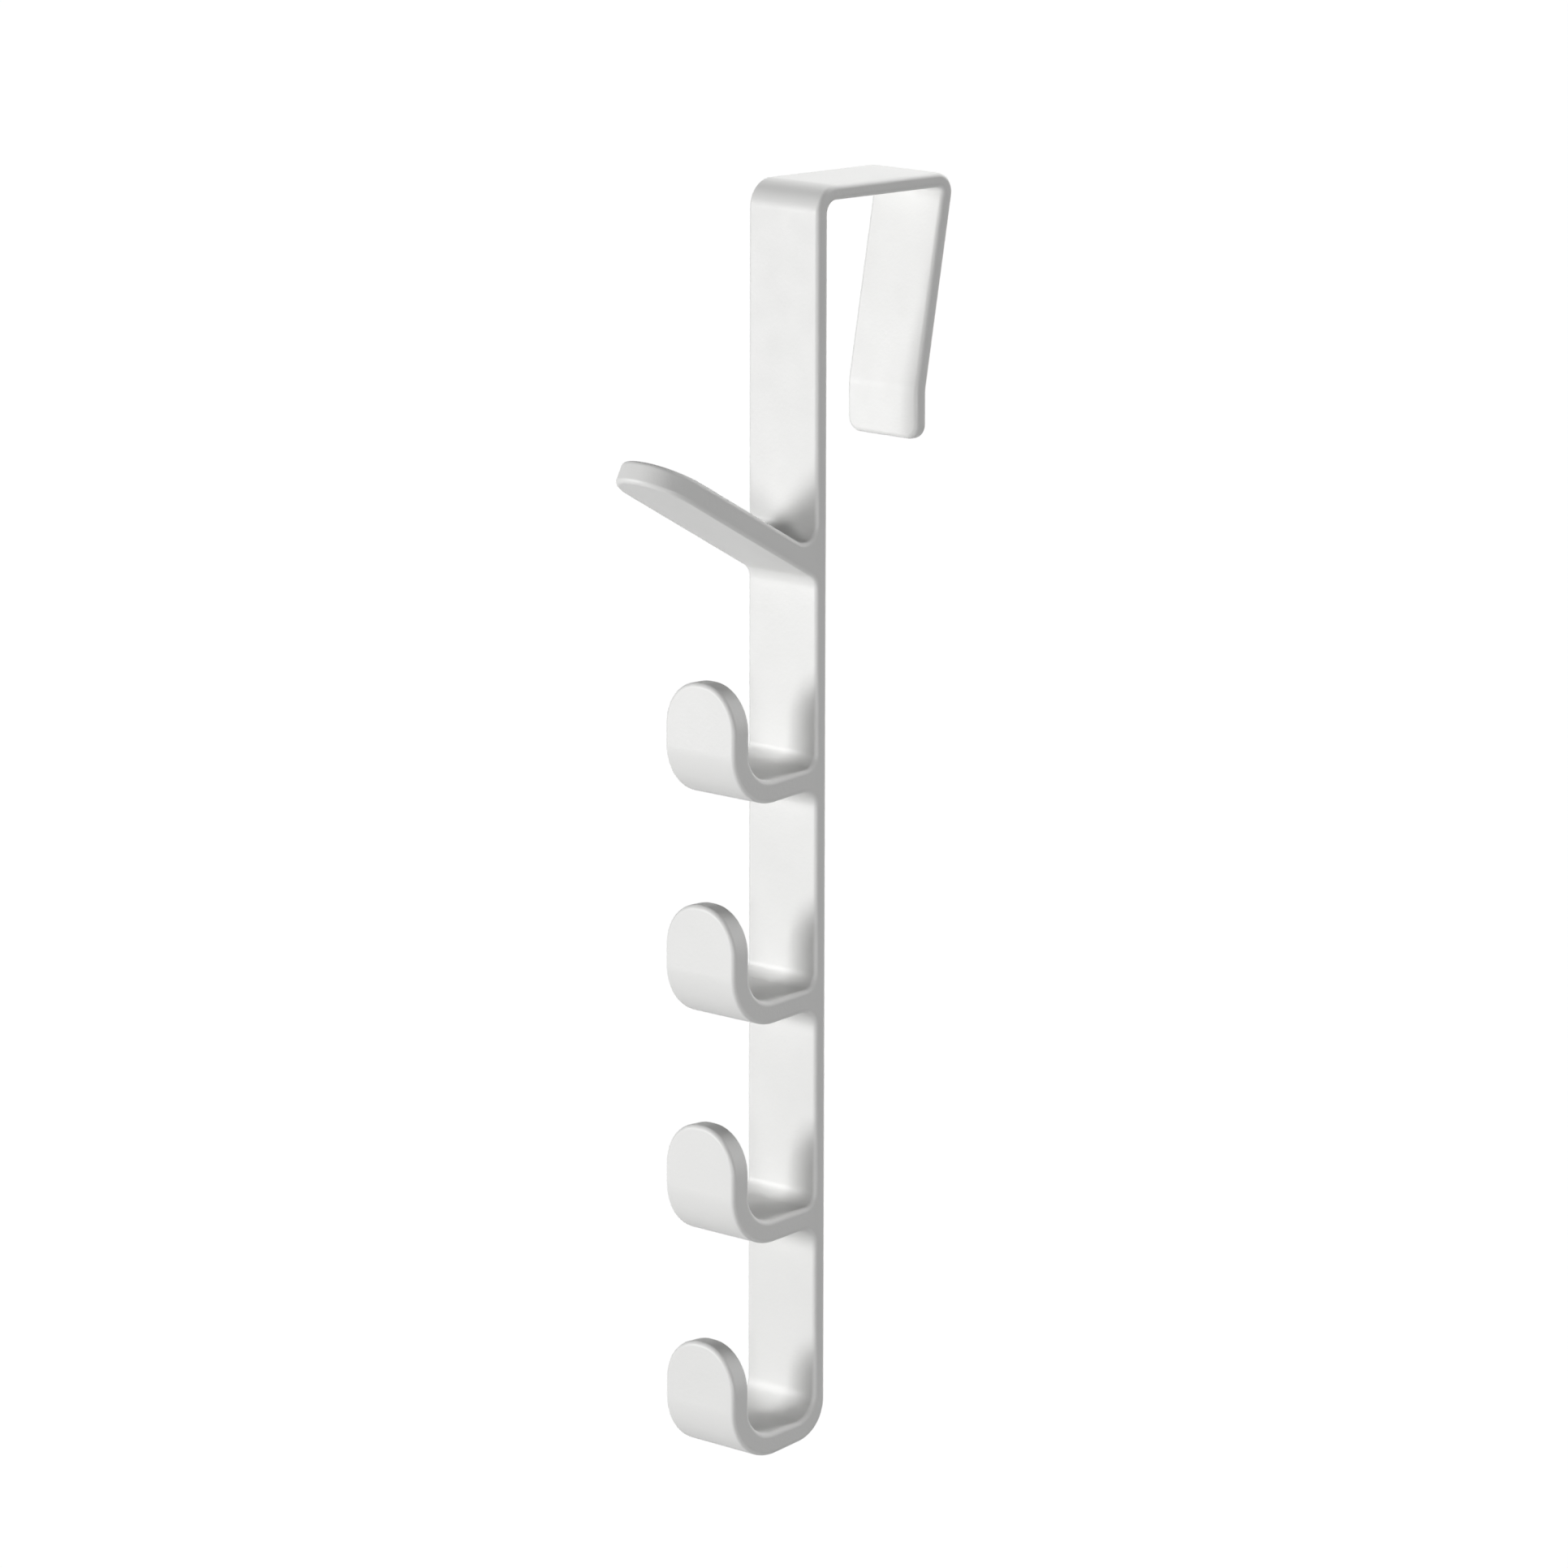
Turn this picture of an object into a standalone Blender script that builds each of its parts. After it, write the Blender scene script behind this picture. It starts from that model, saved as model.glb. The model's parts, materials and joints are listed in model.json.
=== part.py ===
"""Over-the-door bag rack: one bent flat bar with a peg and three J hooks welded to its front.

Metres, +Z up. The rack faces -Y, the door leaf stands behind its strap and +X is the viewer's
right. The origin is the middle of the top plate's underside, where the rack sits on the door top.
Side views below are drawn from the strap's rear face, with the top plate's underside at zero.
"""
import math

import bmesh
import bpy
from mathutils import Matrix, Vector

# Flat bar that makes the bracket, the strap and the bottom hook
BAR_WIDTH = 0.030
BAR_THICKNESS = 0.0046
ARRIS_RADIUS = 0.0015

# Bracket over the door
SLOT_AT_TOP = 0.0497
SLOT_AT_TIP = 0.0384
LEG_LENGTH = 0.0770
LEG_FOOT_LENGTH = 0.0158
FRONT_BEND_INNER = 0.0040
REAR_BEND_INNER = 0.0016
FOOT_BEND_INNER = 0.0100
LEG_CORNER_RADIUS = 0.0048

# Straight peg, whose underside leaves the strap at PEG_DROP below the top plate's underside
PEG_DROP = 0.1149
PEG_LENGTH = 0.0728
PEG_THICKNESS = 0.0074
PEG_RISE_DEGREES = 28.8
PEG_CORNER_SHARE = 0.94
PEG_CORNER_RADIUS = PEG_CORNER_SHARE * BAR_WIDTH / 2

# J hooks: depth from the strap's rear to the plate's front, height from lowest point to tip
HOOK_THICKNESS = 0.0070
HOOK_DEPTH = 0.0400
HOOK_HEIGHT = 0.0372
HOOK_BEND_INNER = 0.0095
HOOK_ARM_RISE_DEGREES = 5.5
HOOK_CORNER_SHARE = 0.94
HOOK_CORNER_RADIUS = HOOK_CORNER_SHARE * BAR_WIDTH / 2

# Strap's lowest point and the curl there into the bottom hook. This hook is as deep as the others
# but not quite as high, thins towards the strap and sits CURL_ABOVE_PITCH over their even pitch
STRAP_DROP = 0.3863
CURL_HEIGHT = 0.0362
CURL_BEND_OUTER = 0.0126
CURL_BEND_INNER = 0.0085
CURL_UNDER_RISE_DEGREES = 8.3
CURL_ABOVE_PITCH = 0.0013
WELDED_J_HOOKS = 3
PEG_TO_FIRST_HOOK = 0.0666
FIRST_HOOK_DROP = PEG_DROP + PEG_TO_FIRST_HOOK
HOOK_PITCH = (STRAP_DROP + CURL_ABOVE_PITCH - FIRST_HOOK_DROP) / WELDED_J_HOOKS

# Weld fillets at the roots, as ground smooth
PEG_TOP_WELD = 0.0050
PEG_UNDER_WELD = 0.0050
HOOK_TOP_WELD = 0.0046
HOOK_UNDER_WELD = 0.0050
WELD_END_INSET = 0.0008

# White coat, a little rougher over the welds
COAT_COLOUR = (0.83, 0.83, 0.82)
BAR_ROUGHNESS = 0.38
WELD_ROUGHNESS = 0.42

# Working values
JOINT_GAP = 0.0003
CUTTER_OVERRUN = 0.0040
WELD_MERGE = 0.00001
ARC_STEP_DEGREES = 7.5
ARRIS_SEGMENTS = 3
FLAT_ANGLE_DEGREES = 0.5
ARRIS_ANGLE_DEGREES = 40.0

SIDE_VIEW = Matrix(((0, 0, 1, 0), (1, 0, 0, 0), (0, 1, 0, 0), (0, 0, 0, 1)))
STRAP_REAR = Matrix.Translation((0, -SLOT_AT_TOP / 2, 0))


def clear_scene():
    for item in list(bpy.data.objects):
        bpy.data.objects.remove(item, do_unlink=True)


def new_collection(name):
    collection = bpy.data.collections.new(name)
    bpy.context.scene.collection.children.link(collection)
    return collection


def coat_material(node, roughness):
    material = bpy.data.materials.new(node + "_coat")
    material.use_nodes = True
    shader = material.node_tree.nodes["Principled BSDF"]
    shader.inputs["Base Color"].default_value = (*COAT_COLOUR, 1)
    shader.inputs["Roughness"].default_value = roughness
    shader.inputs["Metallic"].default_value = 0
    material.diffuse_color = (*COAT_COLOUR, 1)
    return material


def arc_points(centre, radius, start, sweep):
    """Points of an arc with both ends, stepped no wider than ARC_STEP_DEGREES."""
    steps = max(2, math.ceil(abs(sweep) / math.radians(ARC_STEP_DEGREES)))
    angles = [start + sweep * i / steps for i in range(steps + 1)]
    return [centre + radius * Vector((math.cos(a), math.sin(a))) for a in angles]


def rounded_outline(corners):
    """Closed outline from (across, up, radius) corners, with an arc where a radius is given."""
    points = []
    count = len(corners)
    for i, (across, up, radius) in enumerate(corners):
        corner = Vector((across, up))
        before = (Vector(corners[i - 1][:2]) - corner).normalized()
        after = (Vector(corners[(i + 1) % count][:2]) - corner).normalized()
        half = before.angle(after) / 2
        if radius == 0:
            points.append(corner)
            continue
        centre = corner + (before + after).normalized() * radius / math.sin(half)
        first = corner + before * radius / math.tan(half) - centre
        last = corner + after * radius / math.tan(half) - centre
        start = math.atan2(first.y, first.x)
        sweep = math.atan2(first.x * last.y - first.y * last.x, first.dot(last))
        points += arc_points(centre, radius, start, sweep)
    return points


def offset_chain(points, distance):
    """The open chain moved sideways by distance, with mitred corners; left of travel is positive."""
    moved = []
    for i, point in enumerate(points):
        into = (point - points[i - 1]).normalized() if i else None
        out = (points[i + 1] - point).normalized() if i + 1 < len(points) else None
        into = into or out
        out = out or into
        left_in = Vector((-into.y, into.x))
        left_out = Vector((-out.y, out.x))
        mitre = (left_in + left_out).normalized()
        moved.append(point + mitre * distance / mitre.dot(left_in))
    return moved


def prism(name, collection, outline, width, view):
    """Solid of the flat outline, width thick about its own plane, turned by the view matrix."""
    curve = bpy.data.curves.new(name, "CURVE")
    curve.dimensions = "2D"
    curve.fill_mode = "BOTH"
    curve.extrude = width / 2
    spline = curve.splines.new("POLY")
    spline.points.add(len(outline) - 1)
    for knot, point in zip(spline.points, outline):
        knot.co = (point.x, point.y, 0, 1)
    spline.use_cyclic_u = True
    flat = bpy.data.objects.new(name + "_outline", curve)
    collection.objects.link(flat)
    flat.matrix_world = STRAP_REAR @ view
    bpy.context.view_layer.update()
    evaluated = flat.evaluated_get(bpy.context.evaluated_depsgraph_get())
    mesh = bpy.data.meshes.new_from_object(evaluated)
    mesh.name = name
    work = bmesh.new()
    work.from_mesh(mesh)
    bmesh.ops.remove_doubles(work, verts=work.verts, dist=WELD_MERGE)
    bmesh.ops.dissolve_limit(work, angle_limit=math.radians(FLAT_ANGLE_DEGREES),
                             verts=work.verts, edges=work.edges)
    bmesh.ops.recalc_face_normals(work, faces=work.faces)
    work.to_mesh(mesh)
    work.free()
    solid = bpy.data.objects.new(name, mesh)
    collection.objects.link(solid)
    solid.matrix_world = flat.matrix_world
    bpy.data.objects.remove(flat, do_unlink=True)
    return solid


def hide_cutter(cutter):
    cutter.hide_render = True
    cutter.display_type = "WIRE"


def cut(solid, cutter):
    hide_cutter(cutter)
    modifier = solid.modifiers.new("Cut by " + cutter.name, "BOOLEAN")
    modifier.operation = "DIFFERENCE"
    modifier.solver = "EXACT"
    modifier.object = cutter


def round_arrises(solid):
    modifier = solid.modifiers.new("Arrises", "BEVEL")
    modifier.width = ARRIS_RADIUS
    modifier.segments = ARRIS_SEGMENTS
    modifier.limit_method = "ANGLE"
    modifier.angle_limit = math.radians(ARRIS_ANGLE_DEGREES)
    solid.data.shade_smooth()
    solid.data.set_sharp_from_angle(angle=math.radians(ARRIS_ANGLE_DEGREES))


def coat(solid, roughness):
    solid.data.materials.clear()
    solid.data.materials.append(coat_material(solid.name, roughness))


def tip_cutter(name, collection, radius, thickness, tip, outward):
    """Prism that takes the two corners off a bar end.

    tip is the middle of the end face and outward the direction in which the bar ends, both in
    the side view, so the prism crosses the bar's thickness and leaves corners of that radius.
    """
    half = BAR_WIDTH / 2
    wide = half + CUTTER_OVERRUN
    inner = rounded_outline([(-half, -2 * radius, 0), (-half, 0, radius), (half, 0, radius),
                             (half, -2 * radius, 0)])[1:-1]
    outline = [Vector((-wide, -radius)), *inner, Vector((wide, -radius)),
               Vector((wide, CUTTER_OVERRUN)), Vector((-wide, CUTTER_OVERRUN))]
    up = Vector((0, outward.x, outward.y))
    across = Vector((1, 0, 0))
    normal = across.cross(up)
    view = Matrix((across, up, normal)).transposed().to_4x4()
    view.translation = Vector((0, tip.x, tip.y))
    return prism(name, collection, outline, thickness + 2 * CUTTER_OVERRUN, view)


def root_cutter(name, collection, low, high):
    """Block over the strap and its joint gap, which saws a hook off square to the strap."""
    face = -BAR_THICKNESS - JOINT_GAP
    outline = [Vector((face, low)), Vector((CUTTER_OVERRUN, low)),
               Vector((CUTTER_OVERRUN, high)), Vector((face, high))]
    return prism(name, collection, outline, BAR_WIDTH + 2 * CUTTER_OVERRUN, SIDE_VIEW)


def arm_direction(rise_degrees):
    """Unit direction towards the strap of a J hook's face with that rise, in the side view."""
    rise = math.radians(rise_degrees)
    return Vector((math.cos(rise), math.sin(rise)))


def arm_face(bottom, across, radius, rise_degrees):
    """Point at across on the face of a J hook's arm that leaves the bend of that radius.

    Both faces of the front bend share a centre, and bottom is the lowest point of its outer face.
    """
    outer_radius = HOOK_BEND_INNER + HOOK_THICKNESS
    centre = Vector((outer_radius - HOOK_DEPTH, bottom + outer_radius))
    along = arm_direction(rise_degrees)
    leave = centre + radius * Vector((along.y, -along.x))
    return Vector((across, leave.y + (across - leave.x) * along.y / along.x))


def under_face(bottom, across, rise_degrees=HOOK_ARM_RISE_DEGREES):
    return arm_face(bottom, across, HOOK_BEND_INNER + HOOK_THICKNESS, rise_degrees)


def floor_face(bottom, across):
    return arm_face(bottom, across, HOOK_BEND_INNER, HOOK_ARM_RISE_DEGREES)


def hook_bottom(number):
    """Lowest point of a welded J hook, counted down from the peg, which number 1 is next to."""
    return -FIRST_HOOK_DROP - (number - 1) * HOOK_PITCH


def hook_outline(bottom):
    """Side view of a J hook, from its tip to the strap's rear and back."""
    front = -HOOK_DEPTH
    back = front + HOOK_THICKNESS
    tip = bottom + HOOK_HEIGHT
    return rounded_outline([(front, tip, 0),
                            (*under_face(bottom, front), HOOK_BEND_INNER + HOOK_THICKNESS),
                            (*under_face(bottom, 0), 0),
                            (*floor_face(bottom, 0), 0),
                            (*floor_face(bottom, back), HOOK_BEND_INNER),
                            (back, tip, 0)])


def strap_outline():
    """Side view of the bent bar, from the bottom hook's tip round to the leg's foot and back."""
    bottom = -STRAP_DROP
    front = -HOOK_DEPTH
    back = front + HOOK_THICKNESS
    tip = bottom + CURL_HEIGHT
    foot_top = LEG_FOOT_LENGTH - LEG_LENGTH
    inner = [Vector((0, bottom)), Vector((0, 0)), Vector((SLOT_AT_TOP, 0)),
             Vector((SLOT_AT_TIP, foot_top)), Vector((SLOT_AT_TIP, -LEG_LENGTH))]
    outer = offset_chain(inner, BAR_THICKNESS)
    return rounded_outline([
        (front, tip, 0),
        (*under_face(bottom, front, CURL_UNDER_RISE_DEGREES), HOOK_BEND_INNER + HOOK_THICKNESS),
        (*under_face(bottom, 0, CURL_UNDER_RISE_DEGREES), CURL_BEND_OUTER),
        (*inner[1], FRONT_BEND_INNER),
        (*inner[2], REAR_BEND_INNER),
        (*inner[3], FOOT_BEND_INNER + BAR_THICKNESS),
        (*inner[4], 0),
        (*outer[4], 0),
        (*outer[3], FOOT_BEND_INNER),
        (*outer[2], REAR_BEND_INNER + BAR_THICKNESS),
        (*outer[1], FRONT_BEND_INNER + BAR_THICKNESS),
        (*floor_face(bottom, -BAR_THICKNESS), CURL_BEND_INNER),
        (*floor_face(bottom, back), HOOK_BEND_INNER),
        (back, tip, 0)])


def make_door_strap(parts, cutters):
    strap = prism("door_strap", parts, strap_outline(), BAR_WIDTH, SIDE_VIEW)
    hook_tip = Vector((HOOK_THICKNESS / 2 - HOOK_DEPTH, CURL_HEIGHT - STRAP_DROP))
    cut(strap, tip_cutter("bottom_hook_tip_cutter", cutters, HOOK_CORNER_RADIUS, HOOK_THICKNESS,
                          hook_tip, Vector((0, 1))))
    foot = Vector((SLOT_AT_TIP + BAR_THICKNESS / 2, -LEG_LENGTH))
    cut(strap, tip_cutter("leg_tip_cutter", cutters, LEG_CORNER_RADIUS, BAR_THICKNESS,
                          foot, Vector((0, -1))))
    round_arrises(strap)
    coat(strap, BAR_ROUGHNESS)


def make_j_hook(name, bottom, parts, cutters):
    hook = prism(name, parts, hook_outline(bottom), BAR_WIDTH, SIDE_VIEW)
    tip = Vector((HOOK_THICKNESS / 2 - HOOK_DEPTH, bottom + HOOK_HEIGHT))
    cut(hook, tip_cutter(name + "_tip_cutter", cutters, HOOK_CORNER_RADIUS, HOOK_THICKNESS,
                         tip, Vector((0, 1))))
    round_arrises(hook)
    cut(hook, root_cutter(name + "_root_cutter", cutters, bottom - CUTTER_OVERRUN,
                          bottom + HOOK_HEIGHT))
    coat(hook, BAR_ROUGHNESS)


def peg_directions():
    """Outward and upward unit directions of the peg in the side view."""
    rise = math.radians(PEG_RISE_DEGREES)
    return Vector((-math.cos(rise), math.sin(rise))), Vector((math.sin(rise), math.cos(rise)))


def peg_roots():
    """Where the peg's under and top faces meet the strap's front, in the side view."""
    outward, upward = peg_directions()
    under = Vector((-BAR_THICKNESS, -PEG_DROP))
    top = under + Vector((0, PEG_THICKNESS / upward.y))
    return under, top


def make_peg(parts, cutters):
    outward, upward = peg_directions()
    under, top = peg_roots()
    inboard = outward * BAR_THICKNESS / outward.x
    end = under + outward * PEG_LENGTH
    outline = [under + inboard, top + inboard, end + upward * PEG_THICKNESS, end]
    peg = prism("peg_hook", parts, outline, BAR_WIDTH, SIDE_VIEW)
    cut(peg, tip_cutter("peg_tip_cutter", cutters, PEG_CORNER_RADIUS, PEG_THICKNESS,
                        end + upward * PEG_THICKNESS / 2, outward))
    round_arrises(peg)
    cut(peg, root_cutter("peg_root_cutter", cutters, under.y - PEG_LENGTH, top.y + PEG_LENGTH))
    coat(peg, BAR_ROUGHNESS)


def weld_outline(corner, along_strap, along_hook, radius):
    """Hollow fillet in the corner of two faces, a joint gap clear of both of them."""
    half = along_strap.angle(along_hook) / 2
    bisector = (along_strap + along_hook).normalized()
    centre = corner + bisector * radius / math.sin(half)
    seat = corner + bisector * JOINT_GAP / math.sin(half)
    to_strap = corner + along_strap * radius / math.tan(half) - centre
    to_hook = corner + along_hook * radius / math.tan(half) - centre
    toe = math.acos(1 - JOINT_GAP / radius)
    full = math.atan2(to_strap.x * to_hook.y - to_strap.y * to_hook.x, to_strap.dot(to_hook))
    turn = math.copysign(toe, full)
    start = math.atan2(to_strap.y, to_strap.x) + turn
    return [seat, *arc_points(centre, radius, start, full - 2 * turn)]


def make_weld(name, parts, outline):
    weld = prism(name, parts, outline, BAR_WIDTH - 2 * WELD_END_INSET, SIDE_VIEW)
    weld.data.shade_smooth()
    weld.data.set_sharp_from_angle(angle=math.radians(ARRIS_ANGLE_DEGREES))
    coat(weld, WELD_ROUGHNESS)


def make_peg_welds(parts):
    outward, upward = peg_directions()
    under, top = peg_roots()
    make_weld("peg_top_weld", parts, weld_outline(top, Vector((0, 1)), outward, PEG_TOP_WELD))
    make_weld("peg_under_weld", parts,
              weld_outline(under, Vector((0, -1)), outward, PEG_UNDER_WELD))


def make_hook_welds(name, bottom, parts):
    outward = -arm_direction(HOOK_ARM_RISE_DEGREES)
    over = floor_face(bottom, -BAR_THICKNESS)
    under = under_face(bottom, -BAR_THICKNESS)
    make_weld(name + "_top_weld", parts,
              weld_outline(over, Vector((0, 1)), outward, HOOK_TOP_WELD))
    make_weld(name + "_under_weld", parts,
              weld_outline(under, Vector((0, -1)), outward, HOOK_UNDER_WELD))


def main():
    clear_scene()
    parts = new_collection("over_the_door_bag_rack")
    cutters = new_collection("cutters")
    make_door_strap(parts, cutters)
    make_peg(parts, cutters)
    make_peg_welds(parts)
    for number in range(1, WELDED_J_HOOKS + 1):
        name = f"j_hook_{number}"
        bottom = hook_bottom(number)
        make_j_hook(name, bottom, parts, cutters)
        make_hook_welds(name, bottom, parts)


main()
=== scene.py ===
import json
import math

import bmesh
import bpy
from mathutils import Matrix, Vector


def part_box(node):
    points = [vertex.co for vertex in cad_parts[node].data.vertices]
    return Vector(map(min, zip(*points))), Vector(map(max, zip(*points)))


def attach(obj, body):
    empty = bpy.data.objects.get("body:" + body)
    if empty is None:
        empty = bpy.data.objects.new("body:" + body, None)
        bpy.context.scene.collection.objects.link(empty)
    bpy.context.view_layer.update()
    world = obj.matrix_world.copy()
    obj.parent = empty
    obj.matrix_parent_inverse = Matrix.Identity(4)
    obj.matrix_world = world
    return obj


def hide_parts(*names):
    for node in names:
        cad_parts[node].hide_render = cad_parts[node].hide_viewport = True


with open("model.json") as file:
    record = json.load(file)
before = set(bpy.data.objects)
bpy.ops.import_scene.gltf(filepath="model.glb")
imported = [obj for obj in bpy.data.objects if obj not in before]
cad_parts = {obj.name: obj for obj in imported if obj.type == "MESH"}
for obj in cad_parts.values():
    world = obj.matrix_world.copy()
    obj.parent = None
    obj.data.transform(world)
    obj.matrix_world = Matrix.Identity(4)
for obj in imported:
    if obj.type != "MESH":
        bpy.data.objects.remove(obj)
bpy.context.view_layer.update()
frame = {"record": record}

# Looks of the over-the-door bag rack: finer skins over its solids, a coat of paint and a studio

# Bars in metres, with one arris radius on all of them
ARRIS = 0.0015
BAR_THICKNESS = 0.0046
HOOK_THICKNESS = 0.0070
PEG_THICKNESS = 0.0074
LEG_CORNER_RADIUS = 0.0048
HOOK_CORNER_SHARE = 0.94
PEG_CORNER_SHARE = 0.94

# Side view of the bracket, strap, hooks and peg
LEG_LENGTH = 0.0770
LEG_FOOT_LENGTH = 0.0158
FRONT_BEND_INNER = 0.0040
REAR_BEND_INNER = 0.0016
FOOT_BEND_INNER = 0.0100
HOOK_HEIGHT = 0.0372
HOOK_BEND_INNER = 0.0095
HOOK_ARM_RISE_DEGREES = 5.5
CURL_HEIGHT = 0.0362
CURL_BEND_INNER = 0.0085
CURL_BEND_OUTER = 0.0126
CURL_UNDER_RISE_DEGREES = 8.3
PEG_RISE_DEGREES = 28.8
PEG_DROP = 0.1149
PEG_LENGTH = 0.0728

# Hollow fillets at the welded roots
HOOK_TOP_FILLET = 0.0046
HOOK_UNDER_FILLET = 0.0050
PEG_TOP_FILLET = 0.0050
PEG_UNDER_FILLET = 0.0050

# Fineness of the mesh
BEND_STEP_DEGREES = 3.0
PLAN_STEP_DEGREES = 4.5
ARRIS_STEPS = 6
ARRIS_TURNS = [math.pi / 2 * k / ARRIS_STEPS for k in range(ARRIS_STEPS + 1)]

# Sizes that the solids and the record's mounts give
STRAP_LOW, STRAP_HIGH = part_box("door_strap")
MOUNTS = {mount["name"]: mount["pos_m"] for mount in frame["record"]["mounts"]}
STRAP_REAR = MOUNTS["strap_back"][1]
SLOT_AT_TOP = -2 * STRAP_REAR
SLOT_AT_TIP = MOUNTS["leg_foot"][1] - STRAP_REAR
HALF_WIDTH = (STRAP_HIGH.x - STRAP_LOW.x) / 2
STRAP_DROP = -STRAP_LOW.z
HOOK_DEPTH = STRAP_REAR - STRAP_LOW.y
HOOK_BEND_OUTER = HOOK_BEND_INNER + HOOK_THICKNESS
HOOK_CORNER_RADIUS = HOOK_CORNER_SHARE * HALF_WIDTH
PEG_CORNER_RADIUS = PEG_CORNER_SHARE * HALF_WIDTH
J_HOOKS = ("j_hook_1", "j_hook_2", "j_hook_3")

# Coat: its lowest and highest tone and roughness, and the features to the metre of each noise
COAT_TONES = ((0.82, 0.82, 0.81, 1), (0.84, 0.84, 0.83, 1))
COAT_ROUGHNESS = (0.43, 0.49)
COAT_IOR = 1.5
TONE_SCALE = 30
TONE_DETAIL = 2
GLOSS_SCALE = 110
PEEL_SCALE = 900
FINE_DETAIL = 3
PEEL_DEPTH = 0.0002
PEEL_STRENGTH = 0.24
NOISE_MIDDLE = (0.3, 0.7)

# The photograph's camera, as fitted to its outlines
IMAGE_WIDTH_PX = 1932
SENSOR_MM = 36.0
FOCAL_PX = 10074.4
CAMERA_AZIMUTH_DEGREES = 45.0
CAMERA_YAW_DEGREES = 0.06
CAMERA_PITCH_DEGREES = 11.26
CAMERA_ROLL_DEGREES = 0.12
CAMERA_DISTANCE = 2.45723
CAMERA_HEIGHT = 0.30838

# World and floor
WHITE = (1, 1, 1, 1)
AMBIENT_MEAN = 0.05
AMBIENT_SWING = 0.03
AMBIENT_BRIGHT_SIDE = (0.65, -0.76, 0.0)
FLOOR_HALF_SIZE = 20
FLOOR_HEIGHT = -1.90
FLOOR_COLOUR = (0.8, 0.8, 0.8, 1)
FLOOR_ROUGHNESS = 0.9
FLOOR_LIFT = 0.97

# Lamps, all aimed at one point. Azimuth runs from the front to the viewer's right. Azimuth,
# elevation and spread are in degrees, sizes in metres and power in watts
LAMPS_AIM = Vector((0, 0, -0.25))
LAMP_DISTANCE = 2.4
LAMPS = {
    "key": {"azimuth": -36, "elevation": 5, "width": 0.55, "height": 0.6,
            "spread": 120, "power": 15.4},
    "fill": {"azimuth": 47, "elevation": -2, "width": 0.8, "height": 0.6,
             "spread": 120, "power": 8.9},
    "back": {"azimuth": 180, "elevation": 45, "width": 0.9, "height": 0.9,
             "spread": 60, "power": 9, "glossy": False},
}


def offset_chain(points, distance):
    """The open chain moved sideways by distance, with mitred corners; left of travel is positive."""
    moved = []
    for i, point in enumerate(points):
        into = (point - points[i - 1]).normalized() if i else None
        out = (points[i + 1] - point).normalized() if i + 1 < len(points) else None
        into = into or out
        out = out or into
        left_in = Vector((-into.y, into.x))
        mitre = (left_in + Vector((-out.y, out.x))).normalized()
        moved.append(point + mitre * distance / mitre.dot(left_in))
    return moved


def bend(before, corner, after, radius):
    """Stations (point, outward normal) round a bend; the bar's material lies left of travel."""
    into = (corner - before).normalized()
    out = (after - corner).normalized()
    turn = math.atan2(into.x * out.y - into.y * out.x, into.dot(out))
    side = math.copysign(1, turn)
    start = corner - into * radius * math.tan(abs(turn) / 2)
    centre = start + side * radius * Vector((-into.y, into.x))
    steps = max(2, math.ceil(abs(turn) / math.radians(BEND_STEP_DEGREES)))
    stations = []
    for i in range(steps + 1):
        spoke = (start - centre).normalized()
        spoke.rotate(Matrix.Rotation(turn * i / steps, 2))
        stations.append((centre + spoke * radius, spoke * side))
    return stations


def chain(first, bends, last):
    """Stations round the (corner, radius) bends between two points that give directions."""
    corners = [first, *(corner for corner, _ in bends), last]
    stations = []
    for i, (corner, radius) in enumerate(bends):
        stations += bend(corners[i], corner, corners[i + 2], radius)
    return stations


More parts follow.
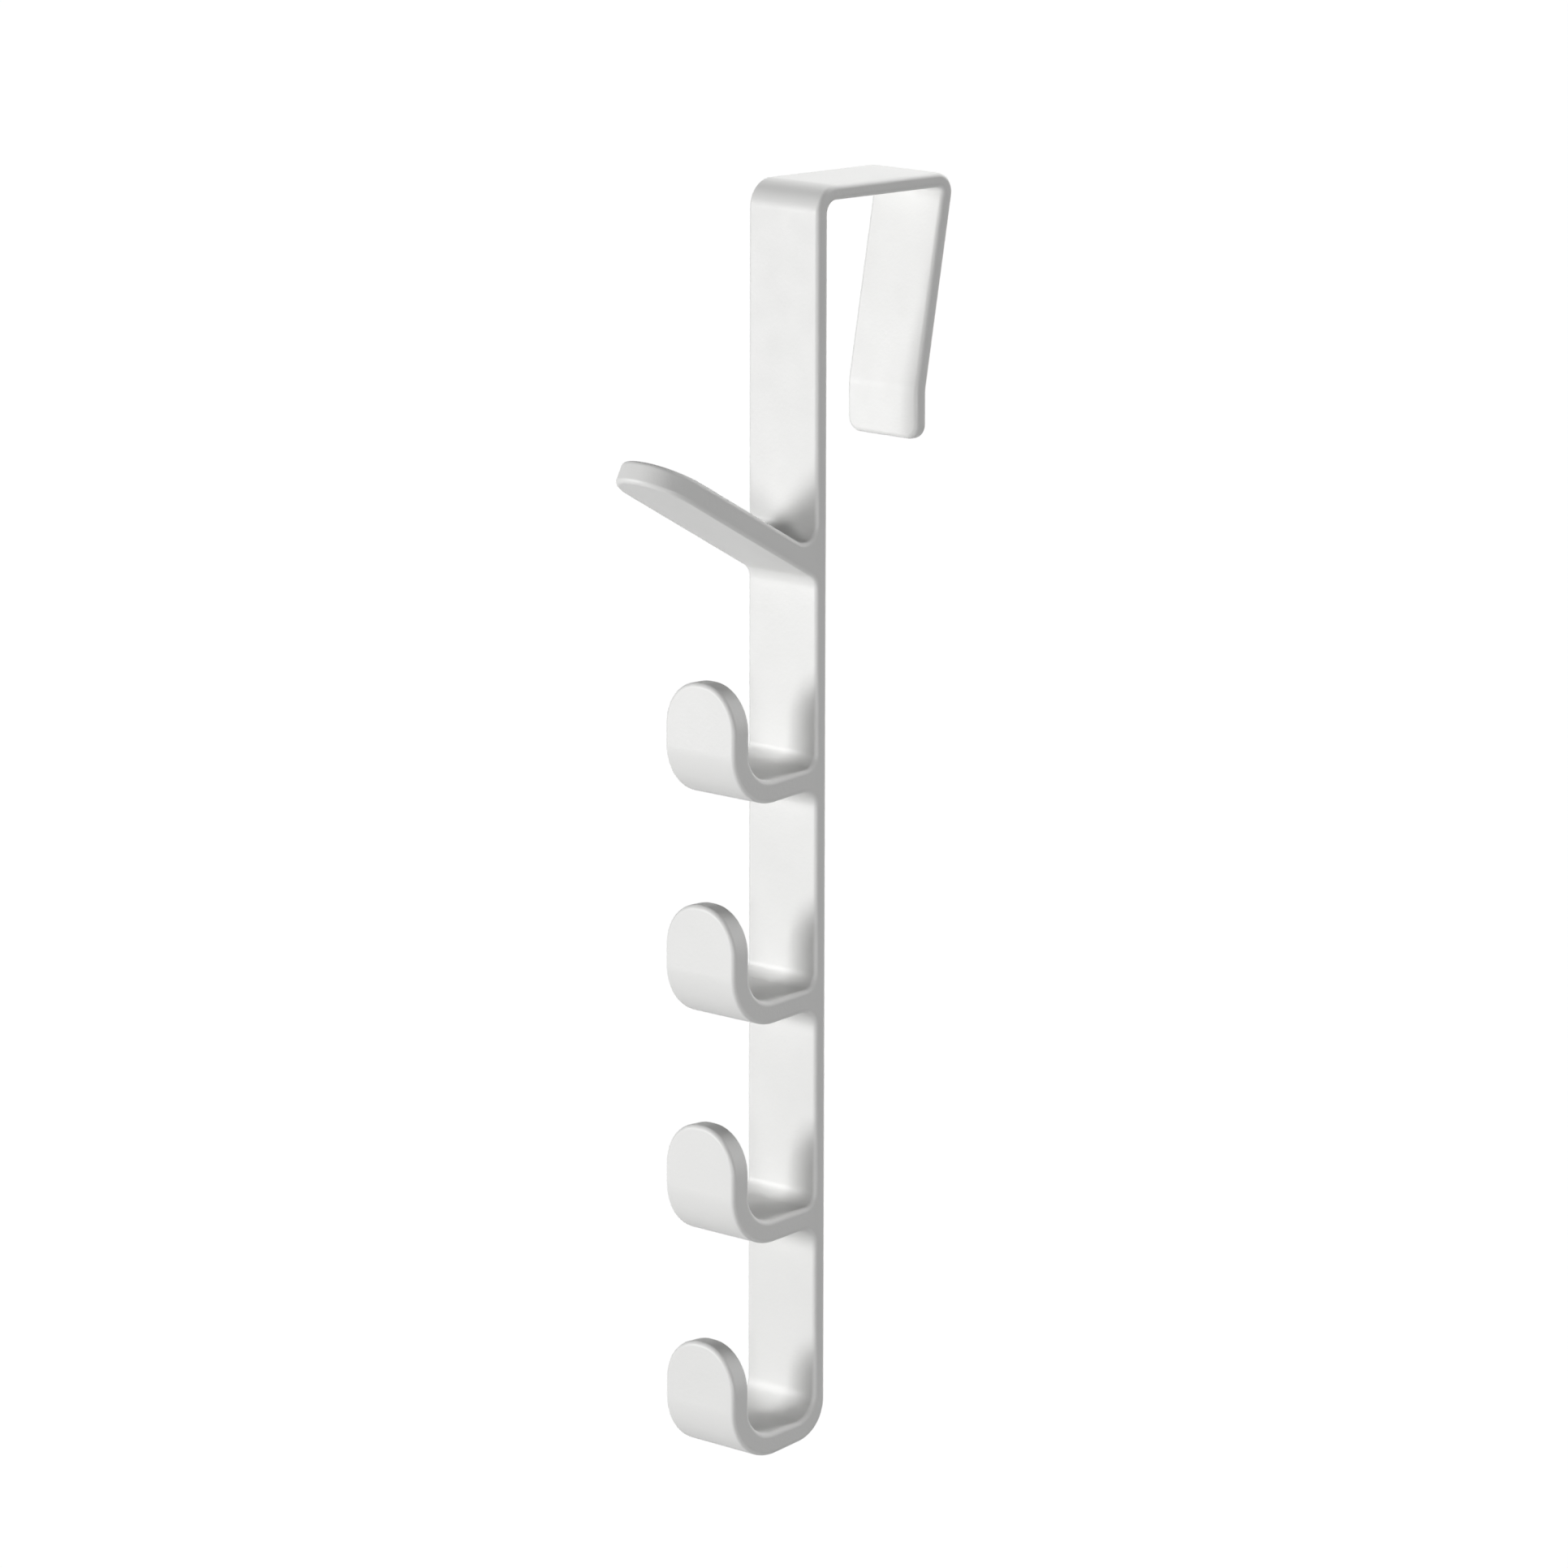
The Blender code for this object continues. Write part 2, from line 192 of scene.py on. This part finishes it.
class Skin:
    """Closed mesh of one bar piece.

    Side-view stations are lofted across the bar, rounded tips close its ends, and the rims of
    all the stations bound its two flat sides.
    """

    def __init__(self):
        self.points = []
        self.normals = []
        self.faces = []
        self.rim = {1: [], -1: []}

    def add(self, across, up, x, normal):
        """Vertex that never stands behind the solid, whose rear bend has wider facets."""
        self.points.append(Vector((x, min(across + STRAP_REAR, STRAP_HIGH.y), up)))
        self.normals.append(normal.normalized())
        return len(self.points) - 1

    def face(self, corners, sign=1):
        """Face turned the way its corners' normals point, or against them where sign is -1."""
        normals = [self.normals[i] * sign for i in corners]
        around = sum((self.points[corners[i - 1]].cross(self.points[corners[i]])
                      for i in range(len(corners))), Vector())
        if around.dot(sum(normals, Vector())) < 0:
            corners, normals = corners[::-1], normals[::-1]
        self.faces.append((corners, normals))

    def ring(self, station):
        """Arris vertices of a station on both sides, from its face round to the bar's side."""
        point, outward = station
        sides = {}
        for side in (1, -1):
            sides[side] = []
            for turn in ARRIS_TURNS:
                place = point - outward * ARRIS * (1 - math.cos(turn))
                x = side * (HALF_WIDTH - ARRIS * (1 - math.sin(turn)))
                normal = Vector((side * math.sin(turn), outward.x * math.cos(turn),
                                 outward.y * math.cos(turn)))
                sides[side].append(self.add(place.x, place.y, x, normal))
        return sides

    def loft(self, first, second, sign=1):
        """Faces between two rings."""
        for side in (1, -1):
            one, two = first[side], second[side]
            for k in range(ARRIS_STEPS):
                self.face([one[k], one[k + 1], two[k + 1], two[k]], sign)
        self.face([first[1][0], first[-1][0], second[-1][0], second[1][0]], sign)

    def run(self, stations):
        """Loft along a chain; gives its first and last ring."""
        rings = [self.ring(station) for station in stations]
        for first, second in zip(rings, rings[1:]):
            self.loft(first, second)
        for side in (1, -1):
            self.rim[side] += [ring[side][-1] for ring in rings]
        return rings[0], rings[-1]

    def tip(self, back, front, back_ring, front_ring, radius):
        """Rounded bar end from the last station of one chain, back, to the first of the next."""
        middle = (back[0] + front[0]) / 2
        half = (back[0] - front[0]).length / 2
        ahead = Vector((-back[1].y, back[1].x))
        steps = round(90 / PLAN_STEP_DEGREES)
        plan = [(HALF_WIDTH - radius, math.pi / 2 * i / steps) for i in range(steps + 1)]
        plan += [(radius - HALF_WIDTH, math.pi - angle) for _, angle in reversed(plan)]
        columns = [(back_ring[1], front_ring[1])]
        for centre, angle in plan[1:-1]:
            edge = Vector((math.cos(angle), ahead.x * math.sin(angle), ahead.y * math.sin(angle)))
            column = []
            for _, outward in (back, front):
                flat = Vector((0, outward.x, outward.y))
                vertices = []
                for turn in ARRIS_TURNS:
                    reach = radius - ARRIS * (1 - math.sin(turn))
                    depth = half - ARRIS * (1 - math.cos(turn))
                    place = middle + ahead * reach * math.sin(angle) + outward * depth
                    vertices.append(self.add(place.x, place.y, centre + reach * math.cos(angle),
                                             edge * math.sin(turn) + flat * math.cos(turn)))
                column.append(vertices)
            columns.append(column)
        columns.append((back_ring[-1], front_ring[-1]))
        for one, two in zip(columns, columns[1:]):
            for part in (0, 1):
                for k in range(ARRIS_STEPS):
                    self.face([one[part][k], one[part][k + 1], two[part][k + 1], two[part][k]])
            self.face([one[0][-1], one[1][-1], two[1][-1], two[0][-1]])
        for part in (0, 1):
            self.face([column[part][0] for column in columns])

    def build(self, name):
        """Object of the mesh, closed by its two flat sides."""
        for side in (1, -1):
            self.face(self.rim[side])
        mesh = bpy.data.meshes.new(name)
        mesh.from_pydata(self.points, [], [corners for corners, _ in self.faces])
        mesh.shade_smooth()
        mesh.normals_split_custom_set([normal for _, normals in self.faces for normal in normals])
        piece = bpy.data.objects.new(name, mesh)
        bpy.context.scene.collection.objects.link(piece)
        return piece


def arm_face(bottom, across, radius, rise_degrees):
    """Point at across on the face of a J hook's arm that leaves the bend of that radius.

    Both faces of the front bend share a centre, and bottom is the lowest point of its outer face.
    """
    rise = math.radians(rise_degrees)
    centre = Vector((HOOK_BEND_OUTER - HOOK_DEPTH, bottom + HOOK_BEND_OUTER))
    leave = centre + radius * Vector((math.sin(rise), -math.cos(rise)))
    return Vector((across, leave.y + (across - leave.x) * math.tan(rise)))


def under_face(bottom, across, rise_degrees=HOOK_ARM_RISE_DEGREES):
    return arm_face(bottom, across, HOOK_BEND_OUTER, rise_degrees)


def floor_face(bottom, across):
    return arm_face(bottom, across, HOOK_BEND_INNER, HOOK_ARM_RISE_DEGREES)


def plate_ends(cut):
    """Stations on the front and back of a J hook's plate, at the height where its tip starts."""
    return ((Vector((-HOOK_DEPTH, cut)), Vector((-1, 0))),
            (Vector((HOOK_THICKNESS - HOOK_DEPTH, cut)), Vector((1, 0))))


def on_strap(height):
    return Vector((-BAR_THICKNESS, height))


def make_strap():
    """The bent bar: leg with its foot, top plate, strap and the curl into the bottom hook."""
    bottom = -STRAP_DROP
    foot_cut = LEG_CORNER_RADIUS - LEG_LENGTH
    inner = [under_face(bottom, 0, CURL_UNDER_RISE_DEGREES), Vector((0, 0)),
             Vector((SLOT_AT_TOP, 0)), Vector((SLOT_AT_TIP, LEG_FOOT_LENGTH - LEG_LENGTH)),
             Vector((SLOT_AT_TIP, foot_cut))]
    outer = offset_chain(inner, BAR_THICKNESS)
    plate_front, plate_back = plate_ends(bottom + CURL_HEIGHT - HOOK_CORNER_RADIUS)
    leg_front = (inner[4], Vector((-1, 0)))
    leg_back = (outer[4], Vector((1, 0)))
    skin = Skin()
    hook_front, leg_in = skin.run([plate_front, *chain(plate_front[0], [
        (under_face(bottom, -HOOK_DEPTH, CURL_UNDER_RISE_DEGREES), HOOK_BEND_OUTER),
        (inner[0], CURL_BEND_OUTER),
        (inner[1], FRONT_BEND_INNER),
        (inner[2], REAR_BEND_INNER),
        (inner[3], FOOT_BEND_INNER + BAR_THICKNESS)], inner[4]), leg_front])
    leg_out, hook_back = skin.run([leg_back, *chain(outer[4], [
        (outer[3], FOOT_BEND_INNER),
        (outer[2], REAR_BEND_INNER + BAR_THICKNESS),
        (outer[1], FRONT_BEND_INNER + BAR_THICKNESS),
        (floor_face(bottom, -BAR_THICKNESS), CURL_BEND_INNER),
        (floor_face(bottom, HOOK_THICKNESS - HOOK_DEPTH), HOOK_BEND_INNER)],
        plate_back[0]), plate_back])
    skin.tip(leg_front, leg_back, leg_in, leg_out, LEG_CORNER_RADIUS)
    skin.tip(plate_back, plate_front, hook_back, hook_front, HOOK_CORNER_RADIUS)
    return skin.build("door_strap_skin")


def make_branch(name, lower, upper, radius):
    """Skin of a hook or peg: one chain from its tip to its root on the strap, and one back."""
    skin = Skin()
    front_ring, toe = skin.run(lower)
    heel, back_ring = skin.run(upper)
    skin.loft(toe, heel, -1)
    skin.tip(upper[-1], lower[0], back_ring, front_ring, radius)
    return skin.build(name)


def make_j_hook(node):
    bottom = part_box(node)[0].z
    plate_front, plate_back = plate_ends(bottom + HOOK_HEIGHT - HOOK_CORNER_RADIUS)
    lower = [plate_front, *chain(plate_front[0], [
        (under_face(bottom, -HOOK_DEPTH), HOOK_BEND_OUTER),
        (under_face(bottom, -BAR_THICKNESS), HOOK_UNDER_FILLET)], on_strap(bottom - HOOK_HEIGHT))]
    upper = [*chain(on_strap(bottom + HOOK_HEIGHT), [
        (floor_face(bottom, -BAR_THICKNESS), HOOK_TOP_FILLET),
        (floor_face(bottom, HOOK_THICKNESS - HOOK_DEPTH), HOOK_BEND_INNER)],
        plate_back[0]), plate_back]
    return make_branch(node + "_skin", lower, upper, HOOK_CORNER_RADIUS)


def make_peg():
    rise = math.radians(PEG_RISE_DEGREES)
    outward = Vector((-math.cos(rise), math.sin(rise)))
    upward = Vector((math.sin(rise), math.cos(rise)))
    root = on_strap(-PEG_DROP)
    top_root = on_strap(PEG_THICKNESS / upward.y - PEG_DROP)
    cut = root + outward * (PEG_LENGTH - PEG_CORNER_RADIUS)
    end_under = (cut, -upward)
    end_top = (cut + upward * PEG_THICKNESS, upward)
    lower = [end_under,
             *chain(cut, [(root, PEG_UNDER_FILLET)], on_strap(-PEG_DROP - PEG_LENGTH))]
    upper = [*chain(on_strap(PEG_LENGTH - PEG_DROP), [(top_root, PEG_TOP_FILLET)], end_top[0]),
             end_top]
    return make_branch("peg_hook_skin", lower, upper, PEG_CORNER_RADIUS)


def add_node(tree, kind, inputs, **settings):
    """Shader node with its settings, and the values of its inputs by name or number."""
    node = tree.nodes.new(kind)
    for name, value in settings.items():
        setattr(node, name, value)
    for key, value in inputs.items():
        node.inputs[key].default_value = value
    return node


def noise(tree, place, scale, detail):
    """Noise in the rack's own space, with about scale features to the metre."""
    texture = add_node(tree, "ShaderNodeTexNoise", {"Scale": scale, "Detail": detail})
    tree.links.new(place.outputs["Object"], texture.inputs["Vector"])
    return texture.outputs["Fac"]


def between(tree, value, lowest, highest):
    """The middle range of a noise, spread over lowest to highest."""
    span = add_node(tree, "ShaderNodeMapRange", {
        "From Min": NOISE_MIDDLE[0], "From Max": NOISE_MIDDLE[1],
        "To Min": lowest, "To Max": highest})
    tree.links.new(value, span.inputs["Value"])
    return span.outputs["Result"]


def powder_coat():
    """Semi-gloss white powder coat: a fine orange peel, with slow changes of tone and gloss."""
    material = bpy.data.materials.new("powder_coat")
    material.use_nodes = True
    tree = material.node_tree
    shader = tree.nodes["Principled BSDF"]
    shader.inputs["IOR"].default_value = COAT_IOR
    place = add_node(tree, "ShaderNodeTexCoord", {})
    tone = add_node(tree, "ShaderNodeMix", {"A": COAT_TONES[0], "B": COAT_TONES[1]},
                    data_type="RGBA")
    tree.links.new(between(tree, noise(tree, place, TONE_SCALE, TONE_DETAIL), 0, 1),
                   tone.inputs["Factor"])
    tree.links.new(tone.outputs["Result"], shader.inputs["Base Color"])
    tree.links.new(between(tree, noise(tree, place, GLOSS_SCALE, FINE_DETAIL), *COAT_ROUGHNESS),
                   shader.inputs["Roughness"])
    bump = add_node(tree, "ShaderNodeBump", {"Strength": PEEL_STRENGTH, "Distance": PEEL_DEPTH})
    tree.links.new(noise(tree, place, PEEL_SCALE, FINE_DETAIL), bump.inputs["Height"])
    tree.links.new(bump.outputs["Normal"], shader.inputs["Normal"])
    return material


def make_camera():
    azimuth = math.radians(CAMERA_AZIMUTH_DEGREES)
    heading = azimuth + math.radians(CAMERA_YAW_DEGREES)
    pitch = math.radians(CAMERA_PITCH_DEGREES)
    roll = math.radians(CAMERA_ROLL_DEGREES)
    place = Vector((math.sin(azimuth) * CAMERA_DISTANCE,
                    STRAP_REAR - math.cos(azimuth) * CAMERA_DISTANCE, CAMERA_HEIGHT))
    forward = Vector((-math.sin(heading) * math.cos(pitch), math.cos(heading) * math.cos(pitch),
                      -math.sin(pitch)))
    level = Vector((math.cos(heading), math.sin(heading), 0))
    upright = level.cross(forward)
    right = level * math.cos(roll) + upright * math.sin(roll)
    up = upright * math.cos(roll) - level * math.sin(roll)
    data = bpy.data.cameras.new("camera")
    data.sensor_fit = "HORIZONTAL"
    data.sensor_width = SENSOR_MM
    data.lens = FOCAL_PX / IMAGE_WIDTH_PX * SENSOR_MM
    camera = bpy.data.objects.new("camera", data)
    bpy.context.scene.collection.objects.link(camera)
    turn = Matrix((right, up, -forward)).transposed().to_4x4()
    turn.translation = place
    camera.matrix_world = turn
    bpy.context.scene.camera = camera


def softbox(name, azimuth, elevation, width, height, spread, power, glossy=True):
    """Area lamp that reflections may leave out and the camera never sees."""
    data = bpy.data.lights.new(name, "AREA")
    data.shape = "RECTANGLE"
    data.size = width
    data.size_y = height
    data.spread = math.radians(spread)
    data.energy = power
    lamp = bpy.data.objects.new(name, data)
    bpy.context.scene.collection.objects.link(lamp)
    azimuth, elevation = math.radians(azimuth), math.radians(elevation)
    level = LAMP_DISTANCE * math.cos(elevation)
    place = LAMPS_AIM + Vector((level * math.sin(azimuth), -level * math.cos(azimuth),
                                LAMP_DISTANCE * math.sin(elevation)))
    turn = (LAMPS_AIM - place).to_track_quat("-Z", "Y").to_matrix().to_4x4()
    lamp.matrix_world = Matrix.Translation(place) @ turn
    lamp.visible_camera = False
    lamp.visible_glossy = glossy


def seen_directly(tree):
    """Value that is 1 for rays from the camera, a reflection or a clear surface, else 0."""
    path = add_node(tree, "ShaderNodeLightPath", {})
    value = path.outputs["Is Camera Ray"]
    for other in ("Is Glossy Ray", "Is Transmission Ray"):
        larger = add_node(tree, "ShaderNodeMath", {}, operation="MAXIMUM")
        tree.links.new(value, larger.inputs[0])
        tree.links.new(path.outputs[other], larger.inputs[1])
        value = larger.outputs[0]
    return value


def make_world():
    """White where it is seen, and a faint light that is brighter from the front."""
    world = bpy.data.worlds.new("studio")
    bpy.context.scene.world = world
    world.use_nodes = True
    tree = world.node_tree
    tree.nodes.clear()
    place = add_node(tree, "ShaderNodeTexCoord", {})
    facing = add_node(tree, "ShaderNodeVectorMath", {1: AMBIENT_BRIGHT_SIDE},
                      operation="DOT_PRODUCT")
    level = add_node(tree, "ShaderNodeMath", {1: AMBIENT_SWING, 2: AMBIENT_MEAN},
                     operation="MULTIPLY_ADD")
    ambient = add_node(tree, "ShaderNodeBackground", {"Color": WHITE})
    white = add_node(tree, "ShaderNodeBackground", {"Color": WHITE, "Strength": 1})
    mix = add_node(tree, "ShaderNodeMixShader", {})
    out = add_node(tree, "ShaderNodeOutputWorld", {})
    tree.links.new(place.outputs["Generated"], facing.inputs[0])
    tree.links.new(facing.outputs["Value"], level.inputs[0])
    tree.links.new(level.outputs[0], ambient.inputs["Strength"])
    tree.links.new(seen_directly(tree), mix.inputs["Fac"])
    tree.links.new(ambient.outputs[0], mix.inputs[1])
    tree.links.new(white.outputs[0], mix.inputs[2])
    tree.links.new(mix.outputs[0], out.inputs["Surface"])


def make_floor():
    """Wide pale floor, lifted to white where it is seen, with the rack's shadow left on it."""
    work = bmesh.new()
    bmesh.ops.create_grid(work, x_segments=1, y_segments=1, size=FLOOR_HALF_SIZE)
    mesh = bpy.data.meshes.new("floor")
    work.to_mesh(mesh)
    work.free()
    floor = bpy.data.objects.new("floor", mesh)
    floor.location = (0, 0, FLOOR_HEIGHT)
    bpy.context.scene.collection.objects.link(floor)
    material = bpy.data.materials.new("floor_white")
    material.use_nodes = True
    tree = material.node_tree
    shader = tree.nodes["Principled BSDF"]
    shader.inputs["Base Color"].default_value = FLOOR_COLOUR
    shader.inputs["Roughness"].default_value = FLOOR_ROUGHNESS
    shader.inputs["Specular IOR Level"].default_value = 0
    shader.inputs["Emission Color"].default_value = WHITE
    lift = add_node(tree, "ShaderNodeMath", {1: FLOOR_LIFT}, operation="MULTIPLY")
    tree.links.new(seen_directly(tree), lift.inputs[0])
    tree.links.new(lift.outputs[0], shader.inputs["Emission Strength"])
    floor.data.materials.append(material)


make_world()
make_floor()
make_camera()
for lamp_name, lamp_settings in LAMPS.items():
    softbox(lamp_name, **lamp_settings)

coat = powder_coat()
pieces = [(make_strap(), ("door_strap",)),
          (make_peg(), ("peg_hook", "peg_top_weld", "peg_under_weld"))]
pieces += [(make_j_hook(hook), (hook, hook + "_top_weld", hook + "_under_weld"))
           for hook in J_HOOKS]
for piece, nodes in pieces:
    piece.data.materials.append(coat)
    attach(piece, "root")
    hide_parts(*nodes)
bpy.context.scene.view_settings.view_transform = "Standard"

bpy.context.view_layer.update()
